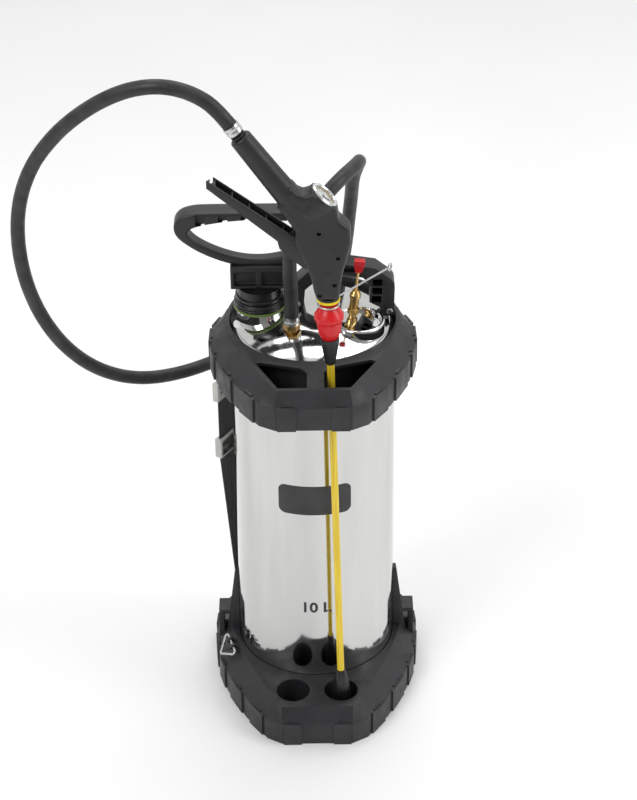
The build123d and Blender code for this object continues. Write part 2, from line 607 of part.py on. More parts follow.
with BuildPart() as gun_housing_back:
    add(housing_whole.part)
    split(bisect_by=gun_middle, keep=Keep.BOTTOM)

with BuildPart() as trigger:
    with BuildSketch(gun_middle):
        add(outline(TRIGGER))
    extrude(amount=TRIGGER_HALF_DEPTH, both=True)
    with BuildSketch(gun_middle):
        add(outline(TRIGGER_CHANNEL))
    extrude(amount=TRIGGER_HALF_DEPTH - 2, both=True, mode=Mode.SUBTRACT)
    for share in (0.0, 0.2, 0.4, 0.6, 0.8):
        rib_x = -102 + 88 * share
        rib_z = 739.5 - 70 * share
        with Locations(Plane(origin=(rib_x, GUN_Y, rib_z), x_dir=(0.785, 0, -0.62), z_dir=(0, -1, 0))):
            Box(1.2, 7, 2 * TRIGGER_HALF_DEPTH - 2)
    with BuildSketch(Plane.XY.offset(730)):
        add(outline([(-116, GUN_Y - 10), (-109, GUN_Y - 10), (-101.5, GUN_Y + 10), (-116, GUN_Y + 10)]))
    extrude(amount=40, mode=Mode.SUBTRACT)
    with Locations(gun_middle):
        with Locations((PIVOT_X, PIVOT_Z)):
            Cylinder(6.5, 2 * TRIGGER_HALF_DEPTH)
            Cylinder(PIVOT_R + RUNNING_GAP, 60, mode=Mode.SUBTRACT)

with BuildPart() as trigger_pin:
    with Locations(gun_middle):
        with Locations((PIVOT_X, PIVOT_Z)):
            Cylinder(PIVOT_R, 2 * GUN_HALF_DEPTH - 2)

with BuildPart() as gun_screws:
    with Locations(gun_middle):
        with Locations(*SCREW_SPOTS):
            Cylinder(1.5, 2 * GUN_HALF_DEPTH - 10)
    with Locations(gun_middle.offset(GUN_HALF_DEPTH - 7)):
        with Locations(*SCREW_SPOTS):
            Cylinder(2.6, 1.8, align=UPRIGHT)

# ---------------------------------------------------------------- gun valve
STEM_R = 2.0
valve_section = Plane(origin=(LANCE_X, GUN_Y, 0), x_dir=(1, 0, 0), z_dir=(0, -1, 0))
valve_axis = Axis((LANCE_X, GUN_Y, 0), (0, 0, 1))
STEM_BORE_R = STEM_R + RUNNING_GAP
VALVE_BODY = [(3, 607), (VALVE_R, 607), (VALVE_R, 646), (STEM_BORE_R, 646), (STEM_BORE_R, 641), (3.9, 641)]
VALVE_BODY += [(3.9, 610), (3, 610)]

with BuildPart() as valve_body:
    with BuildSketch(valve_section):
        add(outline(VALVE_BODY))
    revolve(axis=valve_axis)

with BuildPart() as valve_stem:
    with BuildSketch(valve_section):
        foot = [(0, 635), (3.6, 635), (3.6, 639), (STEM_R, 639)]
        head = [(STEM_R, 658.8), (2.6, 659.6), (2.6, 660.6), (0, 660.6)]
        add(outline(foot + head))
    revolve(axis=valve_axis)

with BuildPart() as valve_spring:
    with BuildLine() as coil:
        Helix(3.0, 20.5, 3.2, center=(LANCE_X, GUN_Y, 611.0))
    with BuildSketch(Plane(origin=coil.line @ 0, z_dir=coil.line % 0)):
        Circle(0.5)
    sweep(path=coil.line, is_frenet=True)

with BuildPart() as grip_pipe:
    with Locations(Plane(origin=GRIP_END, z_dir=grip_axis.direction)):
        Cylinder(PIPE_R, PIPE_LENGTH, align=(Align.CENTER, Align.CENTER, Align.MAX))

# ---------------------------------------------------------------- pressure gauge in the gun
with BuildPart() as gauge_case:
    with BuildSketch(gauge_section):
        add(outline([(0, -12.4), (14.4, -12.4), (14.4, 0), (13, 0), (13, -10), (0, -10)]))
    revolve(axis=gauge_axis)

with BuildPart() as gauge_rim:
    with BuildSketch(gauge_section):
        add(outline([(12.6, 0), (16.2, 0), (16.2, 1.2), (15.2, 2.2), (13.4, 2.2), (12.6, 1.4)]))
    revolve(axis=gauge_axis)

with BuildPart() as gauge_dial:
    with Locations(gauge_plane.offset(-3.2)):
        Cylinder(12.9, 0.8, align=UPRIGHT)

with BuildPart() as gauge_needle:
    with Locations(gauge_plane.offset(-2.2)):
        Cylinder(1.6, 0.9, align=UPRIGHT)
        with Locations((3.6, 0, 0.1)):
            Box(10, 0.9, 0.6, align=UPRIGHT)

with BuildPart() as gauge_lens:
    with Locations(gauge_plane.offset(0)):
        Cylinder(12.5, 1.0, align=UPRIGHT)

# ---------------------------------------------------------------- hose end of the grip
with BuildPart() as grip_neck:
    with BuildSketch(grip_section):
        add(outline([(0, 0), (8, 0), (8, 1.5), (7, 2), (8, 2.5), (7, 3), (8, 3.5), (8, 5), (0, 5)]))
    revolve(axis=grip_axis)

with BuildPart() as gun_ferrule:
    with BuildSketch(grip_section):
        crimp = [(0, 5), (9, 5), (9.2, 8), (8.7, 10), (9.2, 12), (9, GUN_FERRULE_END), (0, GUN_FERRULE_END)]
        add(outline(crimp))
    revolve(axis=grip_axis)

# ---------------------------------------------------------------- lance, measured down from the gun
lance_down = Plane(origin=lance_axis.position, x_dir=(0, 1, 0), z_dir=lance_axis.direction)

with BuildPart() as gun_outlet:
    with BuildSketch(lance_section):
        add(outline([(3, 0.4), (11.8, 0.4), (11.8, 3), (9.6, 3), (9.6, 8), (7, 8), (7, 30), (3, 30)]))
    revolve(axis=lance_axis)

with BuildPart() as yellow_ring:
    with BuildSketch(lance_section):
        add(outline([(9.6, 3), (12.2, 3), (12.8, 4.4), (12.2, 6), (9.6, 6)]))
    revolve(axis=lance_axis)

UNION_NUT = [(7, 8), (9.4, 8), (9.4, 14), (12, 17), (16.2, 24), (16.2, 28), (14.6, 30), (13.6, 36)]
UNION_NUT += [(12.4, 45), (9.4, 53), (7, 53)]
with BuildPart() as union_nut:
    with BuildSketch(lance_section):
        add(outline(UNION_NUT))
    revolve(axis=lance_axis)
    with Locations(lance_down):
        with PolarLocations(17.2, 12):
            Cylinder(1.8, 100, mode=Mode.SUBTRACT)

with BuildPart() as lance_sleeve:
    with BuildSketch(lance_section):
        sleeve = [(LANCE_TUBE_R, 53), (10.4, 53), (10.4, 58), (9.6, 62), (5.6, 86), (LANCE_TUBE_R, 87)]
        add(outline(sleeve))
    revolve(axis=lance_axis)

with BuildPart() as lance_tube:
    with BuildSketch(lance_section):
        add(outline([(2.8, 53), (LANCE_TUBE_R, 53), (LANCE_TUBE_R, 545), (2.8, 545)]))
    revolve(axis=lance_axis)

with BuildPart() as nozzle_holder:
    with BuildSketch(lance_section):
        holder = [(LANCE_TUBE_R, 522), (5.4, 522), (9.2, 537), (11.6, 554), (11.8, 566), (3, 566), (3, 546)]
        add(outline(holder + [(LANCE_TUBE_R, 546)]))
    revolve(axis=lance_axis)
    with Locations(lance_down):
        with PolarLocations(13.0, 10):
            Cylinder(2.0, 564, align=UPRIGHT, mode=Mode.SUBTRACT)

with BuildPart() as nozzle_spigot:
    with BuildSketch(lance_section):
        add(outline([(1, 566), (4, 566), (4, 577), (1, 577)]))
    revolve(axis=lance_axis)

with BuildPart() as nozzle_cap:
    with BuildSketch(lance_section):
        bore_r = 4 + RUNNING_GAP
        cap = [(bore_r, 567), (11.8, 567), (12.4, 569), (12.4, 575), (9, 583), (1, 583), (1, 578)]
        add(outline(cap + [(bore_r, 578)]))
    revolve(axis=lance_axis)

# A wire hook turns on the gun's neck, and its eye rests on the carrying grip.
HOOK_WIRE_R = 1.1
HOOK_RING_R = 11.4
HOOK_DEPTH = 10.6
HOOK_EYE_R = 4.0
hook_ring = lance_down.offset(HOOK_DEPTH)
HOOK_END = (88.0, 2.0, 566.0)
hook_aim = Vector(*HOOK_END) - hook_ring.origin
hook_side = hook_aim - hook_ring.z_dir * hook_aim.dot(hook_ring.z_dir)
hook_start = hook_ring.origin + hook_side.normalized() * HOOK_RING_R
hook_reach = Vector(*HOOK_END) - hook_start
with BuildPart() as lance_hook:
    with Locations(hook_ring):
        Torus(HOOK_RING_R, HOOK_WIRE_R)
    with Locations(Plane(origin=hook_start, z_dir=hook_reach)):
        Cylinder(HOOK_WIRE_R, hook_reach.length - HOOK_EYE_R, align=UPRIGHT)
    with Locations(Plane(origin=HOOK_END, z_dir=hook_reach.cross(Vector(0, 0, 1)))):
        Torus(HOOK_EYE_R, HOOK_WIRE_R)

# ---------------------------------------------------------------- plain label plate
LABEL_Z = 311.0
LABEL_GAP = 0.05
with BuildPart() as tank_label:
    with BuildSketch(Plane.XZ):
        with Locations((0, LABEL_Z)):
            RectangleRounded(84, 40, 8)
    extrude(amount=TANK_R + 5)
    with BuildSketch():
        Circle(TANK_R + 0.5)
        Circle(TANK_R + LABEL_GAP, mode=Mode.SUBTRACT)
    extrude(amount=600, mode=Mode.INTERSECT)

# ---------------------------------------------------------------- hose, from the tank over the top to the gun
grip_tip = Vector(*GRIP_END) + grip_axis.direction * GUN_FERRULE_END
hose_lead = grip_tip + grip_axis.direction * 25.5
HOSE_ARCH = [
    (OUTLET_X, OUTLET_Y, FERRULE_TOP_Z), (OUTLET_X, OUTLET_Y, 560), (-25, -51, 589), (-24, -62, 632),
    (-1, -58, 671), (30, -31, 695), (53, 10, 695), (55, 53, 675), (48, 86, 637), (47, 108, 601),
]
HOSE_BEHIND = [
    (44, 125, 561), (41, 139, 519), (36, 150, 480), (20, 156, 433), (-14, 157, 399), (-58, 150, 378),
    (-110, 131, 364), (-162, 100, 362), (-212, 66, 377), (-257, 36, 412),
]
HOSE_LOOP = [
    (-293, 14, 463), (-317, -2, 526), (-327, -14, 594), (-322, -29, 664), (-301, -50, 727), (-267, -75, 780),
    (-230, -97, 819), (-196, -110, 842.5), (-167.5, -117, 852.5), (-142, -120, 853), (-118, -121, 845),
    tuple(hose_lead), tuple(grip_tip),
]
HOSE_ROUTE = HOSE_ARCH + HOSE_BEHIND + HOSE_LOOP


def hose_radii(route):
    """Each bend's radius: as large as its two runs allow."""
    radii = []
    for before, here, after in zip(route, route[1:], route[2:]):
        run_in = Vector(*here) - Vector(*before)
        run_out = Vector(*after) - Vector(*here)
        turn = radians(run_in.get_angle(run_out))
        radii.append(0.45 * min(run_in.length, run_out.length) / tan(turn / 2))
    return radii


radii = hose_radii(HOSE_ROUTE)
with BuildPart() as hose:
    with BuildLine() as hose_line:
        FilletPolyline(*HOSE_ROUTE, radius=radii)
    with BuildSketch(Plane(origin=hose_line.line @ 0, z_dir=hose_line.line % 0)):
        Circle(HOSE_D / 2)
    sweep(path=hose_line.line)

hose_length = hose_line.wire().length
expected = pi * (HOSE_D / 2) ** 2 * hose_length
print("hose bend radii", [round(r) for r in radii])
print("hose length", round(hose_length, 1), "volume over expected", hose.part.volume / expected)

pieces = {
    "tank_shell": tank_shell,
    "base_guard": base_guard,
    "top_guard": top_guard,
    "strap_webbing": strap_webbing,
    "strap_slider": strap_slider,
    "strap_buckle": strap_buckle,
    "strap_anchor": strap_anchor,
    "strap_ring": strap_ring,
    "pump_neck": pump_neck,
    "pump_seal": pump_seal,
    "outlet_nut": outlet_nut,
    "tank_ferrule": tank_ferrule,
    "dip_tube": dip_tube,
    "valve_cup": valve_cup,
    "relief_body": relief_body,
    "relief_stem": relief_stem,
    "relief_knob": relief_knob,
    "carry_handle": carry_handle,
    "handle_lugs": handle_lugs,
    "handle_screws": handle_screws,
    "pump_collar": pump_collar,
    "pump_barrel": pump_barrel,
    "foot_valve": foot_valve,
    "pump_rod": pump_rod,
    "pump_piston": pump_piston,
    "piston_seal": piston_seal,
    "pump_handle": pump_handle,
    "gun_housing_front": gun_housing_front,
    "gun_housing_back": gun_housing_back,
    "trigger": trigger,
    "trigger_pin": trigger_pin,
    "gun_screws": gun_screws,
    "valve_body": valve_body,
    "valve_stem": valve_stem,
    "valve_spring": valve_spring,
    "grip_pipe": grip_pipe,
    "gauge_case": gauge_case,
    "gauge_rim": gauge_rim,
    "gauge_dial": gauge_dial,
    "gauge_needle": gauge_needle,
    "gauge_lens": gauge_lens,
    "grip_neck": grip_neck,
    "gun_ferrule": gun_ferrule,
    "gun_outlet": gun_outlet,
    "yellow_ring": yellow_ring,
    "union_nut": union_nut,
    "lance_sleeve": lance_sleeve,
    "lance_tube": lance_tube,
    "nozzle_holder": nozzle_holder,
    "nozzle_spigot": nozzle_spigot,
    "nozzle_cap": nozzle_cap,
    "lance_hook": lance_hook,
    "tank_label": tank_label,
    "hose": hose,
}

for name, piece in pieces.items():
    piece.part.label = name
    export_step(piece.part, f"parts/{name}.step")
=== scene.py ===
import json
from math import cos, pi, radians, sin, sqrt

import bmesh
import bpy
from mathutils import Matrix, Vector


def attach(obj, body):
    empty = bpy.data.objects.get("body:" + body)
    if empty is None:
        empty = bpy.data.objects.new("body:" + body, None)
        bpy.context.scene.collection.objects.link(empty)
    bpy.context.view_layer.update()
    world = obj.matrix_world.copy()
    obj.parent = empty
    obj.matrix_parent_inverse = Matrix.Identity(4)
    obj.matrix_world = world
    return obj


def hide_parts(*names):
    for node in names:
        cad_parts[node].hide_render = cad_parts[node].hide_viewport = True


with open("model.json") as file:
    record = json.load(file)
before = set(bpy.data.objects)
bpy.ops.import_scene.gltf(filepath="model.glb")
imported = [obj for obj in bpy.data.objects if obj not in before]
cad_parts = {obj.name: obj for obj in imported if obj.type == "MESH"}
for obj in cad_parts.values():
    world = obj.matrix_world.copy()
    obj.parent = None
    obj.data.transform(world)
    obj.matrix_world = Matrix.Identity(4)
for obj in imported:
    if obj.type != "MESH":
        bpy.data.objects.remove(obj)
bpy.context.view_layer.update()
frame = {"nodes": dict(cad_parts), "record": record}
nodes = frame["nodes"]

# Lengths and places below are in millimetres unless a comment says otherwise.
MM = 0.001
UP = Vector((0, 0, 1))
PUMP_SPOT = Vector((-60, 4, 0))
CUP_SPOT = Vector((53, -24, 0))
GUN_Y = -121.0


def add_object(name, data):
    """A new object in the scene."""
    thing = bpy.data.objects.new(name, data)
    bpy.context.collection.objects.link(thing)
    return thing


# ------------------------------------------------------------------ camera
CAMERA_PLACE = (0, -2.2665, 1.8997)  # metres
CAMERA_PITCH, CAMERA_ROLL, CAMERA_YAW = radians(33.70), radians(-0.644), radians(-0.148)
CAMERA_LENS = 104.7
CAMERA_SENSOR = 36


def aim_camera():
    """The camera stands in front of the sprayer and looks down on it."""
    ahead = Vector((-sin(CAMERA_YAW), cos(CAMERA_YAW), 0))
    forward = ahead * cos(CAMERA_PITCH) - UP * sin(CAMERA_PITCH)
    up = UP * cos(CAMERA_PITCH) + ahead * sin(CAMERA_PITCH)
    right = Vector((cos(CAMERA_YAW), sin(CAMERA_YAW), 0))
    cam_x = right * cos(CAMERA_ROLL) + up * sin(CAMERA_ROLL)
    cam_y = up * cos(CAMERA_ROLL) - right * sin(CAMERA_ROLL)
    data = bpy.data.cameras.new("camera")
    data.lens = CAMERA_LENS
    data.sensor_width = CAMERA_SENSOR
    camera = add_object("camera", data)
    turn = Matrix((cam_x, cam_y, -forward)).transposed().to_4x4()
    camera.matrix_world = Matrix.Translation(CAMERA_PLACE) @ turn
    bpy.context.scene.camera = camera


aim_camera()


# ------------------------------------------------------------------ materials
def new_material(name):
    """An empty node material, its tree and its shader."""
    material = bpy.data.materials.new(name)
    material.use_nodes = True
    tree = material.node_tree
    return material, tree, tree.nodes["Principled BSDF"]


def noise(tree, scale, detail=4.0, stretch=(1, 1, 1)):
    """Noise on object coordinates, in metres; stretch scales each axis."""
    coords = tree.nodes.new("ShaderNodeTexCoord")
    mapping = tree.nodes.new("ShaderNodeMapping")
    mapping.inputs["Scale"].default_value = stretch
    texture = tree.nodes.new("ShaderNodeTexNoise")
    texture.inputs["Scale"].default_value = scale
    texture.inputs["Detail"].default_value = detail
    tree.links.new(coords.outputs["Object"], mapping.inputs["Vector"])
    tree.links.new(mapping.outputs["Vector"], texture.inputs["Vector"])
    return texture.outputs["Fac"]


def rgba(value):
    """A colour with its alpha, from a colour or a grey level."""
    return (*value, 1) if hasattr(value, "__len__") else (value, value, value, 1)


def ramp(tree, factor, low, high, start=0.35, stop=0.65):
    """A colour ramp between two colours or greys."""
    node = tree.nodes.new("ShaderNodeValToRGB")
    ends = node.color_ramp.elements
    ends[0].position = start
    ends[1].position = stop
    ends[0].color = rgba(low)
    ends[1].color = rgba(high)
    tree.links.new(factor, node.inputs["Fac"])
    return node.outputs["Color"]


def add_bump(tree, shader, factor, depth, strength=1.0):
    """Bump of a given depth in metres, stacked on any bump already there."""
    bump = tree.nodes.new("ShaderNodeBump")
    bump.inputs["Strength"].default_value = strength
    bump.inputs["Distance"].default_value = depth
    tree.links.new(factor, bump.inputs["Height"])
    if shader.inputs["Normal"].is_linked:
        tree.links.new(shader.inputs["Normal"].links[0].from_socket, bump.inputs["Normal"])
    tree.links.new(bump.outputs["Normal"], shader.inputs["Normal"])


def plastic(name, dark, light, rough=(0.42, 0.55), grain=1400, depth=0.00004):
    """Moulded plastic: slow colour drift, fine grain and uneven gloss."""
    material, tree, shader = new_material(name)
    shader.inputs["IOR"].default_value = 1.5
    tree.links.new(ramp(tree, noise(tree, 24), dark, light), shader.inputs["Base Color"])
    tree.links.new(ramp(tree, noise(tree, 60, 6), *rough), shader.inputs["Roughness"])
    add_bump(tree, shader, noise(tree, grain, 2), depth)
    return material


def metal(name, dark, light, rough, stretch=(1, 1, 1), depth=0.000004):
    """Metal: bright base, faint drawn marks and uneven gloss."""
    material, tree, shader = new_material(name)
    shader.inputs["Metallic"].default_value = 1.0
    tree.links.new(ramp(tree, noise(tree, 30, 5, stretch), dark, light), shader.inputs["Base Color"])
    tree.links.new(ramp(tree, noise(tree, 90, 6, stretch), *rough), shader.inputs["Roughness"])
    add_bump(tree, shader, noise(tree, 500, 3, stretch), depth)
    return material


def lance_material():
    """Glass fibre tube: warm yellow with faint lengthwise fibres."""
    material, tree, shader = new_material("yellow_fibre")
    fibres = noise(tree, 160, 6, (4, 4, 0.1))
    tree.links.new(ramp(tree, fibres, (0.72, 0.48, 0.012), (0.9, 0.68, 0.045)),
                   shader.inputs["Base Color"])
    tree.links.new(ramp(tree, fibres, 0.28, 0.42), shader.inputs["Roughness"])
    add_bump(tree, shader, fibres, 0.00003)
    return material


def hose_material():
    """Rubber hose with the print of its cloth wrap."""
    material, tree, shader = new_material("wrapped_rubber")
    tree.links.new(ramp(tree, noise(tree, 45, 7), (0.012, 0.012, 0.013), (0.028, 0.028, 0.03)),
                   shader.inputs["Base Color"])
    tree.links.new(ramp(tree, noise(tree, 80, 5), 0.42, 0.6), shader.inputs["Roughness"])
    wrap = tree.nodes.new("ShaderNodeTexWave")
    coords = tree.nodes.new("ShaderNodeTexCoord")
    wrap.inputs["Scale"].default_value = 160
    wrap.inputs["Distortion"].default_value = 3
    tree.links.new(coords.outputs["Object"], wrap.inputs["Vector"])
    add_bump(tree, shader, wrap.outputs["Fac"], 0.00008, 0.5)
    add_bump(tree, shader, noise(tree, 900, 4), 0.00008)
    return material


def webbing_material():
    """Woven polyester: diagonal yarns in both directions."""
    material, tree, shader = new_material("woven_webbing")
    shader.inputs["Roughness"].default_value = 0.82
    shader.inputs["Sheen Weight"].default_value = 0.25
    coords = tree.nodes.new("ShaderNodeTexCoord")
    weave = tree.nodes.new("ShaderNodeMath")
    weave.operation = "MULTIPLY"
    for yarn, lean in enumerate((35, -35)):
        mapping = tree.nodes.new("ShaderNodeMapping")
        mapping.inputs["Rotation"].default_value = (radians(lean), radians(lean), 0)
        wave = tree.nodes.new("ShaderNodeTexWave")
        wave.bands_direction = "Z"
        wave.inputs["Scale"].default_value = 260
        tree.links.new(coords.outputs["Object"], mapping.inputs["Vector"])
        tree.links.new(mapping.outputs["Vector"], wave.inputs["Vector"])
        tree.links.new(wave.outputs["Fac"], weave.inputs[yarn])
    tree.links.new(ramp(tree, weave.outputs[0], (0.008, 0.008, 0.009), (0.03, 0.03, 0.032), 0.0, 0.6),
                   shader.inputs["Base Color"])
    add_bump(tree, shader, weave.outputs[0], 0.0003)
    return material


def lens_material():
    """Clear gauge lens."""
    material, tree, shader = new_material("clear_lens")
    shader.inputs["Base Color"].default_value = (0.96, 0.98, 0.98, 1)
    shader.inputs["Transmission Weight"].default_value = 1.0
    tree.links.new(ramp(tree, noise(tree, 120), 0.01, 0.05), shader.inputs["Roughness"])
    shader.inputs["IOR"].default_value = 1.3
    return material


# Dark and light colour, roughness range, then grain scale and depth in metres.
GUARD = plastic("guard_grain", (0.013, 0.0133, 0.0152), (0.02, 0.0205, 0.0235), (0.42, 0.56),
                1100, 0.00005)
BLACK = plastic("black_moulding", (0.0095, 0.0097, 0.0104), (0.0145, 0.0147, 0.0158), (0.38, 0.5))
BLACK_GLOSS = plastic("black_smooth", (0.005, 0.005, 0.0055), (0.009, 0.009, 0.0095), (0.25, 0.38),
                      900, 0.00002)
GREY = plastic("grey_nylon", (0.46, 0.47, 0.44), (0.56, 0.57, 0.54), (0.4, 0.5))
RED = plastic("red_moulding", (0.58, 0.001, 0.004), (0.68, 0.003, 0.008), (0.28, 0.4), 900, 0.00003)
YELLOW = plastic("yellow_moulding", (0.82, 0.6, 0.0), (0.9, 0.7, 0.01), (0.3, 0.42), 900, 0.00003)
SEAL_GREEN = plastic("green_rubber", (0.13, 0.2, 0.045), (0.2, 0.28, 0.08), (0.5, 0.62))
SEAL_BLACK = plastic("black_rubber", (0.02, 0.02, 0.02), (0.03, 0.03, 0.03), (0.55, 0.68))
DIAL = plastic("dial_card", (0.8, 0.8, 0.78), (0.88, 0.88, 0.86), (0.5, 0.6))
INK = plastic("printed_ink", (0.02, 0.02, 0.022), (0.04, 0.04, 0.042), (0.42, 0.5), 2000, 0.00001)
STAINLESS = metal("polished_steel", (0.58, 0.58, 0.57), (0.65, 0.65, 0.64), (0.06, 0.11),
                  (1, 1, 0.12), 0.000001)
CHROME = metal("bright_steel", (0.74, 0.74, 0.74), (0.84, 0.84, 0.84), (0.03, 0.08))
STEEL = metal("plated_steel", (0.5, 0.5, 0.51), (0.66, 0.66, 0.66), (0.2, 0.34), depth=0.00001)
BRASS = metal("turned_brass", (0.55, 0.33, 0.09), (0.78, 0.55, 0.22), (0.16, 0.32), depth=0.00001)
FIBRE = lance_material()
HOSE_RUBBER = hose_material()
WEBBING = webbing_material()
LENS = lens_material()

PAINT = {
    GUARD: ["base_guard", "top_guard"],
    BLACK: ["carry_handle", "gun_housing_front", "gun_housing_back", "trigger", "grip_neck",
            "gun_outlet", "lance_sleeve", "strap_anchor", "pump_handle"],
    BLACK_GLOSS: ["pump_collar", "pump_barrel", "pump_rod", "pump_piston", "nozzle_holder",
                  "nozzle_cap", "dip_tube"],
    SEAL_GREEN: ["pump_seal"],
    SEAL_BLACK: ["piston_seal", "foot_valve", "gauge_needle"],
    STAINLESS: ["tank_shell"],
    CHROME: ["pump_neck", "valve_cup", "gauge_rim"],
    STEEL: ["tank_ferrule", "gun_ferrule", "handle_lugs", "handle_screws", "strap_ring",
            "lance_hook", "gun_screws", "trigger_pin", "valve_stem", "valve_spring"],
    BRASS: ["outlet_nut", "relief_body", "relief_stem", "valve_body", "grip_pipe", "gauge_case",
            "nozzle_spigot"],
    RED: ["union_nut", "relief_knob"],
    YELLOW: ["yellow_ring"],
    FIBRE: ["lance_tube"],
    HOSE_RUBBER: ["hose"],
    WEBBING: ["strap_webbing"],
    GREY: ["strap_slider", "strap_buckle"],
    DIAL: ["gauge_dial"],
    LENS: ["gauge_lens"],
    INK: ["tank_label"],
}
FINISH = {name: material for material, names in PAINT.items() for name in names}
HOME = {name: body for body, names in frame["record"]["behaviour"]["bodies"].items()
        for name in names}
for name, node in nodes.items():
    if not node.material_slots:
        node.data.materials.append(FINISH[name])
    for slot in node.material_slots:
        slot.material = FINISH[name]


# ------------------------------------------------------------------ making pieces
def place(name, data, material, node, stands_in=(), home=None):
    """A new piece that rides with a node's body and may stand in for CAD nodes."""
    piece = add_object(name, data)
    piece.data.materials.append(material)
    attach(piece, home or HOME[node])
    if stands_in:
        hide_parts(*stands_in)
    return piece


def smooth(mesh, angle=35):
    """Smooth shading with sharp edges above an angle in degrees."""
    mesh.shade_smooth()
    mesh.set_sharp_from_angle(angle=radians(angle))


def bevel(piece, width, segments, angle):
    """Rounds the edges of a piece that are sharper than an angle in degrees."""
    modifier = piece.modifiers.new("soft_edges", "BEVEL")
    modifier.width = width * MM
    modifier.segments = segments
    modifier.limit_method = "ANGLE"
    modifier.angle_limit = radians(angle)
    modifier.harden_normals = True
    modifier.miter_outer = "MITER_ARC"


def finish_shape(name, shape):
    """Turns a bmesh into a mesh and frees it."""
    mesh = bpy.data.meshes.new(name)
    shape.to_mesh(mesh)
    shape.free()
    return mesh


def evaluated(thing):
    """A mesh of the object with its modifiers worked in."""
    bpy.context.view_layer.update()
    graph = bpy.context.evaluated_depsgraph_get()
    return bpy.data.meshes.new_from_object(thing.evaluated_get(graph))


def apply_modifiers(piece):
    """Replaces the piece's mesh with the modified one."""
    mesh = evaluated(piece)
    piece.modifiers.clear()
    piece.data = mesh


def boolean(piece, other, operation):
    """Joins another object to the piece, or cuts it away, and removes the other."""
    modifier = piece.modifiers.new("cut", "BOOLEAN")
    modifier.object = other
    modifier.operation = operation
    modifier.solver = "EXACT"
    apply_modifiers(piece)
    bpy.data.objects.remove(other)


def block_mesh(name, spot, size):
    """A plain block; it is cut, or cuts another shape, before it is seen."""
    shape = bmesh.new()
    scale = Matrix.Diagonal((*(value * MM for value in size), 1))
    bmesh.ops.create_cube(shape, size=1.0, matrix=Matrix.Translation(Vector(spot) * MM) @ scale)
    return finish_shape(name, shape)


def lathe(name, profile, origin, direction, steps=96):
    """A turned mesh from (radius, height) points round an axis."""
    along = Vector(direction).normalized()
    across = along.orthogonal().normalized()
    side = along.cross(across)
    shape = bmesh.new()
    rings = []
    for radius, height in profile:
        if radius < 1e-6:
            rings.append([shape.verts.new((Vector(origin) + along * height) * MM)])
            continue
        ring = []
        for k in range(steps):
            turn = 2 * pi * k / steps
            spoke = (across * cos(turn) + side * sin(turn)) * radius
            ring.append(shape.verts.new((Vector(origin) + along * height + spoke) * MM))
        rings.append(ring)
    for low, high in zip(rings, rings[1:]):
        for k in range(steps):
            n = (k + 1) % steps
            if len(low) == 1 and len(high) > 1:
                shape.faces.new((low[0], high[k], high[n]))
            elif len(high) == 1 and len(low) > 1:
                shape.faces.new((low[k], low[n], high[0]))
            elif len(low) > 1:
                shape.faces.new((low[k], low[n], high[n], high[k]))
    bmesh.ops.recalc_face_normals(shape, faces=shape.faces)
    mesh = finish_shape(name, shape)
    smooth(mesh)
    return mesh


def arc(centre, radius, start, stop, count):
    """Points on an arc in the half section, angles in degrees."""
    points = []
    for k in range(count + 1):
        angle = radians(start + (stop - start) * k / count)
        points.append((centre[0] + radius * cos(angle), centre[1] + radius * sin(angle)))
    return points


# ------------------------------------------------------------------ hose
HOSE_RADIUS = 8
HOSE_ARCH = [
    (-23.5, -41, 530), (-23.5, -41, 560), (-25, -51, 589), (-24, -62, 632), (-1, -58, 671),
    (30, -31, 695), (53, 10, 695), (55, 53, 675), (48, 86, 637), (47, 108, 601),
]
HOSE_BEHIND = [
    (44, 125, 561), (41, 139, 519), (36, 150, 480), (20, 156, 433), (-14, 157, 399),
    (-58, 150, 378), (-110, 131, 364), (-162, 100, 362), (-212, 66, 377), (-257, 36, 412),
]
HOSE_LOOP = [
    (-293, 14, 463), (-317, -2, 526), (-327, -14, 594), (-322, -29, 664), (-301, -50, 727),
    (-267, -75, 780), (-230, -97, 819), (-196, -110, 842.5), (-167.5, -117, 852.5),
    (-142, -120, 853), (-118, -121, 845),
]
GRIP_END = Vector((-74, GUN_Y, 797))
GRIP_AXIS = Vector((-14, 0, 20)).normalized()
HOSE_END = GRIP_END + GRIP_AXIS * 15
HOSE_LEAD = HOSE_END + GRIP_AXIS * 25.5


def make_hose():
    """The hose from the tank's outlet, over an arch, round behind the tank and up to the gun."""
    route = HOSE_ARCH + HOSE_BEHIND + HOSE_LOOP + [tuple(HOSE_LEAD), tuple(HOSE_END)]
    curve = bpy.data.curves.new("hose_line", "CURVE")
    curve.dimensions = "3D"
    curve.bevel_depth = HOSE_RADIUS * MM
    curve.bevel_resolution = 8
    curve.resolution_u = 10
    spline = curve.splines.new("NURBS")
    spline.points.add(len(route) - 1)
    for point, spot in zip(spline.points, route):
        point.co = (*(value * MM for value in spot), 1)
    spline.order_u = 3
    spline.use_endpoint_u = True
    hose = place("rubber_hose", curve, HOSE_RUBBER, "hose", ["hose"])


make_hose()

# ------------------------------------------------------------------ tank
TANK_R = 95.0
TANK_FOOT_Z = 6.0
ROLL_R = 12
SHOULDER_Z = 487.4
SHOULDER_TURN = 62.8
CROWN_EDGE_R = 88.6
CROWN_TOP_Z = 516.0
CROWN_R = 240.0
CROWN_RINGS = 32
NECK_PROFILE = [(24.6, 490), (24.6, 518), (27.5, 518), (27.5, 506), (28.6, 503), (31.5, 500.5),
                (34, 499)]


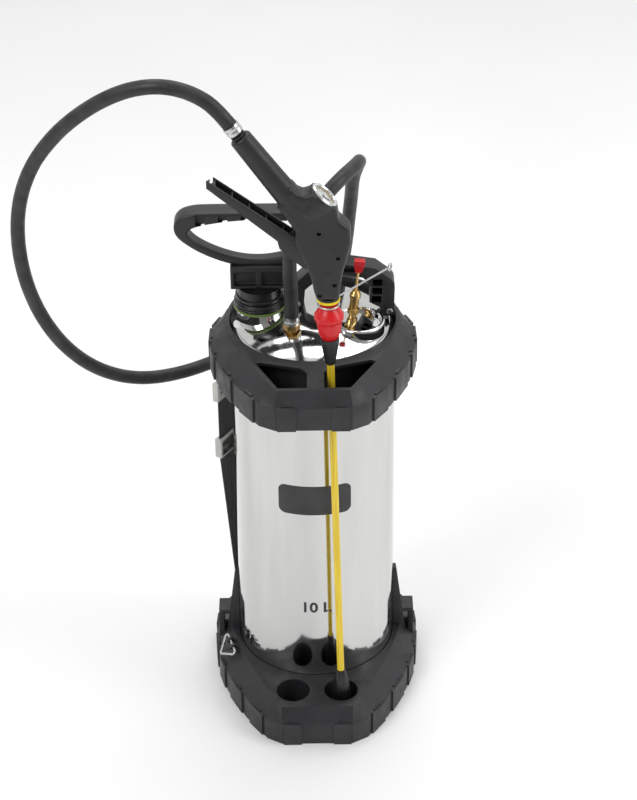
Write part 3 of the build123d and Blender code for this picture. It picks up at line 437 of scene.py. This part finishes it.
def make_tank():
    """The shell with its rolled foot, a rounded shoulder and a true crown."""
    foot = [(0, TANK_FOOT_Z)] + arc((TANK_R - ROLL_R, TANK_FOOT_Z + ROLL_R), ROLL_R, -90, 0, 8)
    shoulder = arc((TANK_R - ROLL_R, SHOULDER_Z), ROLL_R, 0, SHOULDER_TURN, 10)
    crown_centre_z = CROWN_TOP_Z - CROWN_R
    crown = []
    for k in range(CROWN_RINGS + 1):
        radius = CROWN_EDGE_R * (1 - k / CROWN_RINGS)
        crown.append((radius, crown_centre_z + sqrt(CROWN_R**2 - radius**2)))
    mesh = lathe("polished_tank", foot + shoulder + crown, (0, 0, 0), UP, 160)
    place("polished_tank", mesh, STAINLESS, "tank_shell", ["tank_shell"])


def make_pump_neck():
    """The pressed collar that the pump screws into."""
    mesh = lathe("neck_collar", NECK_PROFILE, PUMP_SPOT, UP)
    place("neck_collar", mesh, CHROME, "pump_neck", ["pump_neck"])


def make_cup():
    """The valve's pressed cup: a rolled rim round a shallow floor."""
    rim = arc((26.6, 511.6), 2.4, 0, 180, 12)
    profile = [(29, 491)] + rim + [(24, 506), (22.5, 505), (0, 505)]
    mesh = lathe("rolled_cup", profile, CUP_SPOT, UP)
    place("rolled_cup", mesh, CHROME, "valve_cup", ["valve_cup"])


make_tank()
make_pump_neck()
make_cup()

# ------------------------------------------------------------------ moulded parts
WELD_DISTANCE = 0.02
FLAT_ANGLE = 1.5
# CAD node, piece, then the bevel's width, segments and least angle.
SOFTENED = [
    ("base_guard", "foot_guard", 1.5, 3, 28),
    ("top_guard", "shoulder_guard", 1.5, 3, 28),
    ("carry_handle", "carry_arch", 2.4, 4, 30),
    ("pump_collar", "pump_collar_rings", 0.5, 2, 30),
    ("trigger", "trigger_lever", 0.6, 2, 30),
    ("union_nut", "union_grip_nut", 0.6, 2, 30),
    ("strap_slider", "slider_frame", 0.7, 2, 30),
    ("strap_buckle", "buckle_frame", 0.9, 2, 30),
    ("relief_knob", "relief_tee", 0.9, 3, 30),
    ("nozzle_holder", "nozzle_cone", 0.5, 2, 30),
    ("nozzle_cap", "nozzle_rim", 0.5, 2, 30),
    ("handle_lugs", "lug_blocks", 0.5, 2, 30),
    ("handle_screws", "screw_heads", 0.4, 2, 30),
]


def soften(node, name, width, segments, angle):
    """A copy of a CAD node with its flat faces joined and its edges rounded as moulded."""
    shape = bmesh.new()
    shape.from_mesh(nodes[node].data)
    shape.transform(nodes[node].matrix_world)
    bmesh.ops.remove_doubles(shape, verts=shape.verts, dist=WELD_DISTANCE * MM)
    bmesh.ops.dissolve_limit(shape, angle_limit=radians(FLAT_ANGLE), verts=shape.verts,
                             edges=shape.edges)
    mesh = finish_shape(name, shape)
    piece = place(name, mesh, FINISH[node], node, [node])
    mesh.shade_smooth()
    bevel(piece, width, segments, angle)


for row in SOFTENED:
    soften(*row)

# ------------------------------------------------------------------ spray gun shells
GUN_HALF_DEPTH = 13
GUN_EDGE_R = 4.5
GUN_BODY = [
    (5, 604), (2, 614), (-2, 634), (-9, 652), (-19, 676), (-17, 688), (-24, 700), (-36, 718),
    (-20, 742), (-14, 734), (-8, 731), (-2, 733), (3, 737), (27, 716), (29.5, 702), (41, 691),
    (42, 675), (38, 655), (33, 637), (30, 614), (29, 604),
]
# Start and end, radius at each, and how far the bar is flattened in depth.
GUN_BARS = [
    ((-73.2, GUN_Y, 796), (-14, GUN_Y, 712), 12.0, 14.0, 0.98),
    ((14.6, GUN_Y, 727.2), (-4, GUN_Y, 705.9), 17.9, 15.0, 1.0),
    ((17.2, GUN_Y, 604.2), (17.2, GUN_Y, 640), 12.2, 14.5, 0.95),
]
GAUGE_SEAT = ((17, GUN_Y, 730), (4.8, GUN_Y, 716), 14.6, 14.6, 1.0)
GUN_SCREWS = [(8, 687), (28, 657), (24, 624), (8, 611)]
SCREW_WELL = [(0, 0), (2.5, 0), (2.5, 9), (0, 9)]
SCREW_WELL_START = 16
TRIGGER_SLOT = [(1, 618), (-44, 656), (-30, 704), (-20, 696), (-6, 690), (10, 688), (22, 676),
                (22, 648), (8, 640)]
TRIGGER_SLOT_HALF = 10.2
SKIN_VOXEL = 1.1
SEAM_HALF = 0.12


def prism(points, half):
    """A solid from a side outline, straight through the gun's depth."""
    shape = bmesh.new()
    rows = []
    for y in (GUN_Y - half, GUN_Y + half):
        rows.append([shape.verts.new((x * MM, y * MM, z * MM)) for x, z in points])
    shape.faces.new(rows[0])
    shape.faces.new(list(reversed(rows[1])))
    for k in range(len(points)):
        n = (k + 1) % len(points)
        shape.faces.new((rows[0][k], rows[1][k], rows[1][n], rows[0][n]))
    bmesh.ops.recalc_face_normals(shape, faces=shape.faces)
    return shape


def gun_body_form():
    """The gun's side outline as a solid with rounded long edges."""
    shape = prism(GUN_BODY, GUN_HALF_DEPTH)
    rims = [edge for edge in shape.edges
            if abs(edge.verts[0].co.y - edge.verts[1].co.y) < 1e-6]
    bmesh.ops.bevel(shape, geom=rims, offset=GUN_EDGE_R * MM, segments=5, profile=0.5,
                    affect="EDGES", clamp_overlap=True)
    return add_object("gun_body_form", finish_shape("gun_body_form", shape))


def bar_form(start, stop, start_radius, stop_radius, flat):
    """A round or slightly flattened bar between two points, with stepped-in ends."""
    along = Vector(stop) - Vector(start)
    inset = 2
    profile = [(0, 0), (start_radius - inset, 0), (start_radius, inset),
               (stop_radius, along.length - inset), (stop_radius - inset, along.length),
               (0, along.length)]
    mesh = lathe("gun_bar_form", profile, start, along, 40)
    for vert in mesh.vertices:
        vert.co.y = GUN_Y * MM + (vert.co.y - GUN_Y * MM) * flat
    return add_object("gun_bar_form", mesh)


def half_shell(name, whole, side, node):
    """One half of the gun, side -1 in front or 1 behind, cut just short of the parting line."""
    shape = bmesh.new()
    shape.from_mesh(whole)
    everything = shape.verts[:] + shape.edges[:] + shape.faces[:]
    cut = bmesh.ops.bisect_plane(shape, geom=everything, clear_outer=True,
                                 plane_co=(0, (GUN_Y + side * SEAM_HALF) * MM, 0),
                                 plane_no=(0, -side, 0))
    rim = [item for item in cut["geom_cut"] if isinstance(item, bmesh.types.BMEdge)]
    bmesh.ops.contextual_create(shape, geom=rim)
    mesh = finish_shape(name, shape)
    smooth(mesh, 40)
    place(name, mesh, BLACK, node, [node])


def make_gun():
    """Both shells of the gun, blended from one outline and three bars, then cut apart."""
    body = gun_body_form()
    for row in GUN_BARS:
        boolean(body, bar_form(*row), "UNION")
    remesh = body.modifiers.new("remesh", "REMESH")
    remesh.mode = "VOXEL"
    remesh.voxel_size = SKIN_VOXEL * MM
    apply_modifiers(body)
    relax = body.modifiers.new("relax", "SMOOTH")
    relax.factor = 0.5
    relax.iterations = 10
    apply_modifiers(body)
    boolean(body, bar_form(*GAUGE_SEAT), "DIFFERENCE")
    for x, z in GUN_SCREWS:
        for side in (-1, 1):
            start = (x, GUN_Y + side * SCREW_WELL_START, z)
            mesh = lathe("screw_well", SCREW_WELL, start, (0, -side, 0), 24)
            boolean(body, add_object("screw_well", mesh), "DIFFERENCE")
    slot_mesh = finish_shape("trigger_slot", prism(TRIGGER_SLOT, TRIGGER_SLOT_HALF))
    boolean(body, add_object("trigger_slot", slot_mesh), "DIFFERENCE")
    half_shell("gun_shell_front", body.data, -1, "gun_housing_front")
    half_shell("gun_shell_back", body.data, 1, "gun_housing_back")
    bpy.data.objects.remove(body)


make_gun()

# ------------------------------------------------------------------ pump handle
# Half of the loop, from the top's middle round to the bottom's: outer x, z, inner x, z and
# half depth.
LOOP_HALF = [
    (0, 643, 0, 633.5, 13), (25, 643, 25, 632.6, 13), (50, 643, 48, 629.8, 13),
    (70, 642.3, 64, 626.6, 13), (84, 638.5, 72.5, 623.5, 12.6), (91.5, 631, 76.5, 620, 12),
    (93.4, 622, 77.5, 616.2, 11.4), (90.5, 612.5, 75.5, 611.4, 10.7), (82, 603, 69, 604.6, 9.8),
    (67, 591.6, 57.5, 597.3, 9), (47, 581, 41, 589.6, 8.4), (24, 573, 22, 583.6, 8),
    (0, 569, 0, 581, 8),
]
ROWS_PER_SPAN = 5
LOOP_CORNER_R = 3.2
CORNER_STEPS = 5
PUMP_HALF_DEPTH = 13
POCKETS = 6
POCKET_PITCH = 25.5
POCKET_WIDTH = 10.5
POCKET_CUT_DEPTH = 12
POCKET_FLOOR_Z = 632.0
POCKET_FLOOR_BOW = 0.0016
POCKET_CEILING_Z = 641.2
COLUMN_Z, COLUMN_SIZE = 560, (64, 26, 29)
COLUMN_POCKET_X, COLUMN_POCKET_Z, COLUMN_POCKET_SIZE = 15.5, 558, (24, 14, 18)
SKIRT_PROFILE = [(7.2, 531), (26.8, 531), (27.5, 531.7), (27.5, 534.4), (26.8, 535),
                 (25.5, 535.4), (25.5, 545.5), (7.2, 545.5)]


def closed_curve(points, per_span):
    """Catmull-Rom points round a closed loop of value rows."""
    result = []
    count = len(points)
    for k in range(count):
        rows = [points[(k + step) % count] for step in (-1, 0, 1, 2)]
        for step in range(per_span):
            t = step / per_span
            result.append(tuple(
                0.5 * (2 * b + (c - a) * t + (2 * a - 5 * b + 4 * c - d) * t**2
                       + (3 * b - a - 3 * c + d) * t**3)
                for a, b, c, d in zip(*rows)))
    return result


def make_loop_mesh():
    """The D-shaped grip: one rounded bar whose depth and height change round the loop."""
    mirrored = [(-x, z, -u, w, half) for x, z, u, w, half in reversed(LOOP_HALF[1:-1])]
    shape = bmesh.new()
    rings = []
    for x, z, u, w, half in closed_curve(LOOP_HALF + mirrored, ROWS_PER_SPAN):
        outer, inner = Vector((x, 0, z)), Vector((u, 0, w))
        middle = PUMP_SPOT + (outer + inner) / 2
        reach = (outer - inner) / 2
        size = reach.length
        corner = min(LOOP_CORNER_R, size * 0.8)
        ring = []
        for turn, sx, sy in ((0, 1, 1), (90, -1, 1), (180, -1, -1), (270, 1, -1)):
            for step in range(CORNER_STEPS + 1):
                angle = radians(turn + 90 * step / CORNER_STEPS)
                along = sx * (size - corner) + corner * cos(angle)
                deep = sy * (half - corner) + corner * sin(angle)
                spot = middle + reach / size * along + Vector((0, deep, 0))
                ring.append(shape.verts.new(spot * MM))
        rings.append(ring)
    for k, ring in enumerate(rings):
        after = rings[(k + 1) % len(rings)]
        for c in range(len(ring)):
            n = (c + 1) % len(ring)
            shape.faces.new((ring[c], ring[n], after[n], after[c]))
    bmesh.ops.recalc_face_normals(shape, faces=shape.faces)
    return finish_shape("loop_form", shape)


def cut_pocket(piece, x, side, z, size):
    """Cuts a block out of the front, side -1, or the back, side 1, of a pump handle piece."""
    spot = (PUMP_SPOT.x + x, PUMP_SPOT.y + side * PUMP_HALF_DEPTH, z)
    boolean(piece, add_object("cutter", block_mesh("cutter", spot, size)), "DIFFERENCE")


def make_pump_handle():
    """The grip loop with pockets in its top bar, the column under it and the locking skirt."""
    loop = place("pump_grip_loop", make_loop_mesh(), BLACK, "pump_handle", ["pump_handle"])
    for k in range(POCKETS):
        x = POCKET_PITCH * (k - (POCKETS - 1) / 2)
        low, high = POCKET_FLOOR_Z - POCKET_FLOOR_BOW * x * x, POCKET_CEILING_Z
        for side in (-1, 1):
            cut_pocket(loop, x, side, (low + high) / 2 + 1,
                       (POCKET_WIDTH, POCKET_CUT_DEPTH, high - low - 1))
    bevel(loop, 0.5, 2, 40)
    smooth(loop.data, 40)
    column_mesh = block_mesh("pump_grip_column", PUMP_SPOT + UP * COLUMN_Z, COLUMN_SIZE)
    column = place("pump_grip_column", column_mesh, BLACK, "pump_handle", ["pump_handle"])
    for side in (-1, 1):
        for x in (-COLUMN_POCKET_X, COLUMN_POCKET_X):
            cut_pocket(column, x, side, COLUMN_POCKET_Z, COLUMN_POCKET_SIZE)
    bevel(column, 1.4, 3, 30)
    smooth(column.data, 30)
    skirt = lathe("pump_grip_skirt", SKIRT_PROFILE, PUMP_SPOT, UP, 72)
    place("pump_grip_skirt", skirt, BLACK_GLOSS, "pump_handle")


make_pump_handle()

# ------------------------------------------------------------------ strap webbing
STRAP_MIDDLE = Vector((-104, 22, 0))
STRAP_ACROSS = Vector((-0.53, -0.848, 0)).normalized()
STRAP_OUT = STRAP_ACROSS.cross(UP)
STRAP_FOOT_Z, STRAP_KINK_Z, STRAP_TOP_Z = 66.0, 300.0, 384.0
STRAP_FOOT_SHIFT = 29.0
STRAP_HALF_WIDTH = 15.0
STRAP_THICKNESS = 1.8
STRAP_COLUMNS, STRAP_ROWS = 16, 150
EDGE_START = 0.82
EDGE_BULGE = 0.7
WAVE_HEIGHT, WAVE_TURN = 0.25, 0.045
STITCH_ROWS_Z = (76, 84, 370, 377)
STITCHES, STITCH_START, STITCH_PITCH, STITCH_OUT = 7, -11, 3.66, 1.2
STITCH_SIZE = (2.6, 0.5, 0.5)


def strap_spot(z, along, out):
    """A point of the strap: along its width and out from its face, set back below the kink."""
    lean = max(0.0, (STRAP_KINK_Z - z) / (STRAP_KINK_Z - STRAP_FOOT_Z))
    drift = -STRAP_FOOT_SHIFT * lean
    return STRAP_MIDDLE + STRAP_ACROSS * (along + drift) + STRAP_OUT * out + UP * z


def make_strap():
    """Webbing with raised edges, a slight wave and bar stitches near its ends."""
    shape = bmesh.new()
    grid = []
    for r in range(STRAP_ROWS + 1):
        z = STRAP_FOOT_Z + (STRAP_TOP_Z - STRAP_FOOT_Z) * r / STRAP_ROWS
        row = []
        for c in range(STRAP_COLUMNS + 1):
            u = -1 + 2 * c / STRAP_COLUMNS
            edge = max(0.0, (abs(u) - EDGE_START) / (1 - EDGE_START))
            out = EDGE_BULGE * edge * (1 - edge) + WAVE_HEIGHT * sin(z * WAVE_TURN) * (1 - u * u)
            row.append(shape.verts.new(strap_spot(z, STRAP_HALF_WIDTH * u, out) * MM))
        grid.append(row)
    for low, high in zip(grid, grid[1:]):
        for c in range(STRAP_COLUMNS):
            shape.faces.new((low[c], low[c + 1], high[c + 1], high[c]))
    mesh = finish_shape("strap_band", shape)
    mesh.shade_smooth()
    band = place("strap_band", mesh, WEBBING, "strap_webbing", ["strap_webbing"])
    thick = band.modifiers.new("thickness", "SOLIDIFY")
    thick.thickness = STRAP_THICKNESS * MM
    thick.offset = 0
    stitches = bmesh.new()
    turn = Matrix((STRAP_ACROSS, STRAP_OUT, UP)).transposed().to_4x4()
    size = Matrix.Diagonal((*(value * MM for value in STITCH_SIZE), 1))
    for z in STITCH_ROWS_Z:
        for k in range(STITCHES):
            centre = strap_spot(z, STITCH_START + STITCH_PITCH * k, STITCH_OUT)
            bmesh.ops.create_icosphere(stitches, subdivisions=1, radius=0.5,
                                       matrix=Matrix.Translation(centre * MM) @ turn @ size)
    thread = finish_shape("strap_stitches", stitches)
    thread.shade_smooth()
    place("strap_stitches", thread, SEAL_BLACK, "strap_webbing")


make_strap()

# ------------------------------------------------------------------ gauge face and printed marks
LETTER_DEPTH = 0.02
DIAL_START, DIAL_SWEEP = 225, 270
DIAL_TICKS, TICKS_PER_NUMBER = 30, 5
DIGIT_SIZE, DIGIT_CIRCLE_R = 3.2, 7.6
CAPACITY_SIZE, CAPACITY_WEIGHT, CAPACITY_Z = 20.5, 0.6, 153
PRINT_GAP = 0.08


def text_mesh(name, words, size, weight=0.0):
    """Plain lettering as a mesh in millimetres, centred on its own origin."""
    curve = bpy.data.curves.new(name, "FONT")
    curve.body = words
    curve.size = size
    curve.align_x = "CENTER"
    curve.align_y = "CENTER"
    curve.extrude = LETTER_DEPTH
    curve.offset = weight
    curve.resolution_u = 3
    maker = add_object(name, curve)
    mesh = evaluated(maker)
    bpy.data.objects.remove(maker)
    return mesh


def make_dial():
    """Tick marks and numbers from 0 to 6 on the gauge's card."""
    along = Vector((24, 0, 27.5)).normalized()
    across = Vector((0, 1, 0)).cross(along).normalized()
    side = along.cross(across)
    centre = Vector((14, GUN_Y, 726.5)) + along * -2.36
    turn = Matrix((across, side, along)).transposed().to_4x4()
    marks = bmesh.new()
    for k in range(DIAL_TICKS + 1):
        angle = radians(DIAL_START - DIAL_SWEEP * k / DIAL_TICKS)
        if k % TICKS_PER_NUMBER == 0:
            radius, length, width = 10.6, 2.2, 0.5
        else:
            radius, length, width = 11.1, 1.2, 0.28
        middle = centre + (across * cos(angle) + side * sin(angle)) * radius
        size = Matrix.Diagonal((length * MM, width * MM, 0.06 * MM, 1))
        spin = Matrix.Rotation(angle, 4, "Z")
        bmesh.ops.create_cube(marks, size=1.0,
                              matrix=Matrix.Translation(middle * MM) @ turn @ spin @ size)
    numbers = DIAL_TICKS // TICKS_PER_NUMBER
    for number in range(numbers + 1):
        angle = radians(DIAL_START - DIAL_SWEEP * number / numbers)
        spot = centre + (across * cos(angle) + side * sin(angle)) * DIGIT_CIRCLE_R
        digit = text_mesh("dial_number", str(number), DIGIT_SIZE)
        digit.transform(Matrix.Translation(spot * MM) @ turn @ Matrix.Scale(MM, 4))
        marks.from_mesh(digit)
    place("dial_marks", finish_shape("dial_marks", marks), INK, "gauge_needle", home="root")


def make_capacity_mark():
    """The generic capacity figure, wrapped on the tank."""
    mesh = text_mesh("capacity_mark", "10 L", CAPACITY_SIZE, CAPACITY_WEIGHT)
    for vert in mesh.vertices:
        turn = vert.co.x / TANK_R
        out = TANK_R + PRINT_GAP + vert.co.z
        vert.co = Vector((out * sin(turn), -out * cos(turn), CAPACITY_Z + vert.co.y)) * MM
    place("capacity_mark", mesh, INK, "tank_label")


make_dial()
make_capacity_mark()

# ------------------------------------------------------------------ light and floor
# Everything in this part is in metres, and light power in watts.
FLOOR_HALF = 8
WORLD_STRENGTH = 0.86
WORLD_FRONT_GREY = 0.34
# Name, place, target, size and power.
SOFTBOXES = [
    ("key_softbox", (-1.6, -1.6, 2.6), (0, 0, 0.3), (1.4, 1.4), 34),
    ("right_softbox", (2.2, -0.6, 1.8), (0, 0, 0.3), (1.2, 1.8), 22),
    ("top_softbox", (0.2, 1.2, 2.8), (0, 0, 0.4), (2.0, 1.2), 24),
]


def make_floor():
    """A plain pale floor."""
    shape = bmesh.new()
    bmesh.ops.create_grid(shape, x_segments=1, y_segments=1, size=FLOOR_HALF)
    floor = add_object("floor", finish_shape("floor", shape))
    material, tree, shader = new_material("pale_floor")
    shader.inputs["Roughness"].default_value = 0.7
    tree.links.new(ramp(tree, noise(tree, 2), 0.9, 0.93), shader.inputs["Base Color"])
    floor.data.materials.append(material)


def area_light(name, spot, target, size, power):
    """A soft rectangular light that faces a target."""
    data = bpy.data.lights.new(name, "AREA")
    data.shape = "RECTANGLE"
    data.size, data.size_y = size
    data.energy = power
    light = add_object(name, data)
    light.location = spot
    light.rotation_euler = (Vector(target) - Vector(spot)).to_track_quat("-Z", "Y").to_euler()


def make_world():
    """Pale surroundings, a little darker on the front side so steel shows its shape."""
    world = bpy.data.worlds.new("studio")
    world.use_nodes = True
    bpy.context.scene.world = world
    tree = world.node_tree
    back = tree.nodes["Background"]
    coords = tree.nodes.new("ShaderNodeTexCoord")
    split = tree.nodes.new("ShaderNodeSeparateXYZ")
    lift = tree.nodes.new("ShaderNodeMath")
    lift.operation = "MULTIPLY_ADD"
    lift.inputs[1].default_value = 0.5
    lift.inputs[2].default_value = 0.5
    tree.links.new(coords.outputs["Generated"], split.inputs["Vector"])
    tree.links.new(split.outputs["Y"], lift.inputs[0])
    tree.links.new(ramp(tree, lift.outputs[0], WORLD_FRONT_GREY, 1, 0.05, 0.75),
                   back.inputs["Color"])
    back.inputs["Strength"].default_value = WORLD_STRENGTH


make_floor()
make_world()
bpy.context.scene.view_settings.view_transform = "Standard"
for row in SOFTBOXES:
    area_light(*row)
